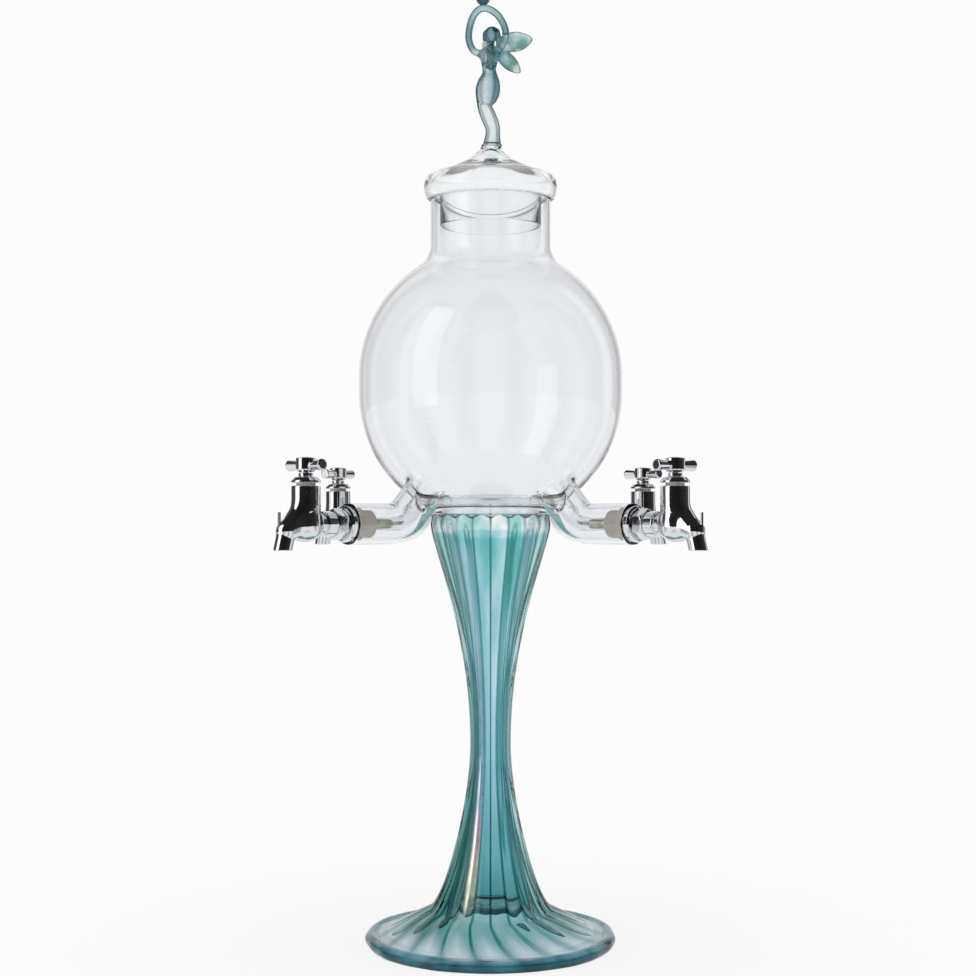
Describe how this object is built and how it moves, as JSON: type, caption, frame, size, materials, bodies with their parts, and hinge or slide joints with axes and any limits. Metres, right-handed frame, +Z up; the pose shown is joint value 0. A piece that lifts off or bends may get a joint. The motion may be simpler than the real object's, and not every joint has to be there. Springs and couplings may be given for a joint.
{
  "type": "absinthe fountain",
  "caption": "Glass drink fountain: clear globe with small screw-down taps on a teal fluted stem, under a lid with a winged figure.",
  "frame": {"origin": "centre of the foot's flat underside", "axes": "+Z up along the stem, -Y towards the viewer of the picture, taps at 45 degrees to X and Y"},
  "size_m": [0.2226, 0.2226, 0.5433],
  "materials": {
    "clear_glass": "blown, clear and smooth",
    "teal_glass": "blown, ribbed, teal, fading to clear at both ends",
    "rim_glass": "rolled, deep teal",
    "figure_glass": "lampworked, grey teal",
    "bead_glass": "lampworked, dark teal",
    "chrome": "polished plating",
    "brass": "turned, bare",
    "silicone": "moulded, translucent beige",
    "rubber": "moulded, black"
  },
  "bodies": {
    "fountain": {"foot_rim": "rim_glass", "pedestal": "teal_glass", "collar": "clear_glass", "globe": "clear_glass", "flange_washers": "chrome", "lock_nuts": "chrome", "bonnet_seals": "silicone", "gland_rings": "rubber", "glass_arm_front_left": "clear_glass", "glass_arm_front_right": "clear_glass", "glass_arm_rear_left": "clear_glass", "glass_arm_rear_right": "clear_glass", "stopper_front_left": "silicone", "stopper_front_right": "silicone", "stopper_rear_left": "silicone", "stopper_rear_right": "silicone", "shank_front_left": "brass", "shank_front_right": "brass", "shank_rear_left": "brass", "shank_rear_right": "brass", "tap_body_front_left": "chrome", "tap_body_front_right": "chrome", "tap_body_rear_left": "chrome", "tap_body_rear_right": "chrome", "bonnet_front_left": "chrome", "bonnet_front_right": "chrome", "bonnet_rear_left": "chrome", "bonnet_rear_right": "chrome"},
    "lid": {"lid": "clear_glass", "figure_body": "figure_glass", "figure_arms": "figure_glass", "figure_wings": "figure_glass", "figure_bead": "bead_glass"},
    "handle_front_left": {"handle_front_left": "chrome", "handle_screw_front_left": "chrome", "spindle_front_left": "brass"},
    "valve_front_left": {"jumper_front_left": "brass", "valve_washer_front_left": "rubber"},
    "handle_front_right": {"handle_front_right": "chrome", "handle_screw_front_right": "chrome", "spindle_front_right": "brass"},
    "valve_front_right": {"jumper_front_right": "brass", "valve_washer_front_right": "rubber"},
    "handle_rear_left": {"handle_rear_left": "chrome", "handle_screw_rear_left": "chrome", "spindle_rear_left": "brass"},
    "valve_rear_left": {"jumper_rear_left": "brass", "valve_washer_rear_left": "rubber"},
    "handle_rear_right": {"handle_rear_right": "chrome", "handle_screw_rear_right": "chrome", "spindle_rear_right": "brass"},
    "valve_rear_right": {"jumper_rear_right": "brass", "valve_washer_rear_right": "rubber"}
  },
  "joints": [
    {"name": "lid_lift", "type": "slide", "parent": "fountain", "child": "lid", "axis": [0, 0, 1], "range_m": [0, 0.06]},
    {"name": "handle_turn_front_left", "type": "hinge", "parent": "fountain", "child": "handle_front_left", "pos_m": [-0.09546, -0.09546, 0.2395], "axis": [0, 0, 1], "range_deg": [0, 360]},
    {"name": "valve_lift_front_left", "type": "slide", "parent": "fountain", "child": "valve_front_left", "axis": [0, 0, 1], "range_m": [0, 0.002]},
    {"name": "handle_turn_front_right", "type": "hinge", "parent": "fountain", "child": "handle_front_right", "pos_m": [0.09546, -0.09546, 0.2395], "axis": [0, 0, 1], "range_deg": [0, 360]},
    {"name": "valve_lift_front_right", "type": "slide", "parent": "fountain", "child": "valve_front_right", "axis": [0, 0, 1], "range_m": [0, 0.002]},
    {"name": "handle_turn_rear_left", "type": "hinge", "parent": "fountain", "child": "handle_rear_left", "pos_m": [-0.09546, 0.09546, 0.2395], "axis": [0, 0, 1], "range_deg": [0, 360]},
    {"name": "valve_lift_rear_left", "type": "slide", "parent": "fountain", "child": "valve_rear_left", "axis": [0, 0, 1], "range_m": [0, 0.002]},
    {"name": "handle_turn_rear_right", "type": "hinge", "parent": "fountain", "child": "handle_rear_right", "pos_m": [0.09546, 0.09546, 0.2395], "axis": [0, 0, 1], "range_deg": [0, 360]},
    {"name": "valve_lift_rear_right", "type": "slide", "parent": "fountain", "child": "valve_rear_right", "axis": [0, 0, 1], "range_m": [0, 0.002]}
  ],
  "couplings": [
    {"joint": "valve_lift_front_left", "follows": "handle_turn_front_left", "m_per_rad": 0.00031831},
    {"joint": "valve_lift_front_right", "follows": "handle_turn_front_right", "m_per_rad": 0.00031831},
    {"joint": "valve_lift_rear_left", "follows": "handle_turn_rear_left", "m_per_rad": 0.00031831},
    {"joint": "valve_lift_rear_right", "follows": "handle_turn_rear_right", "m_per_rad": 0.00031831}
  ]
}
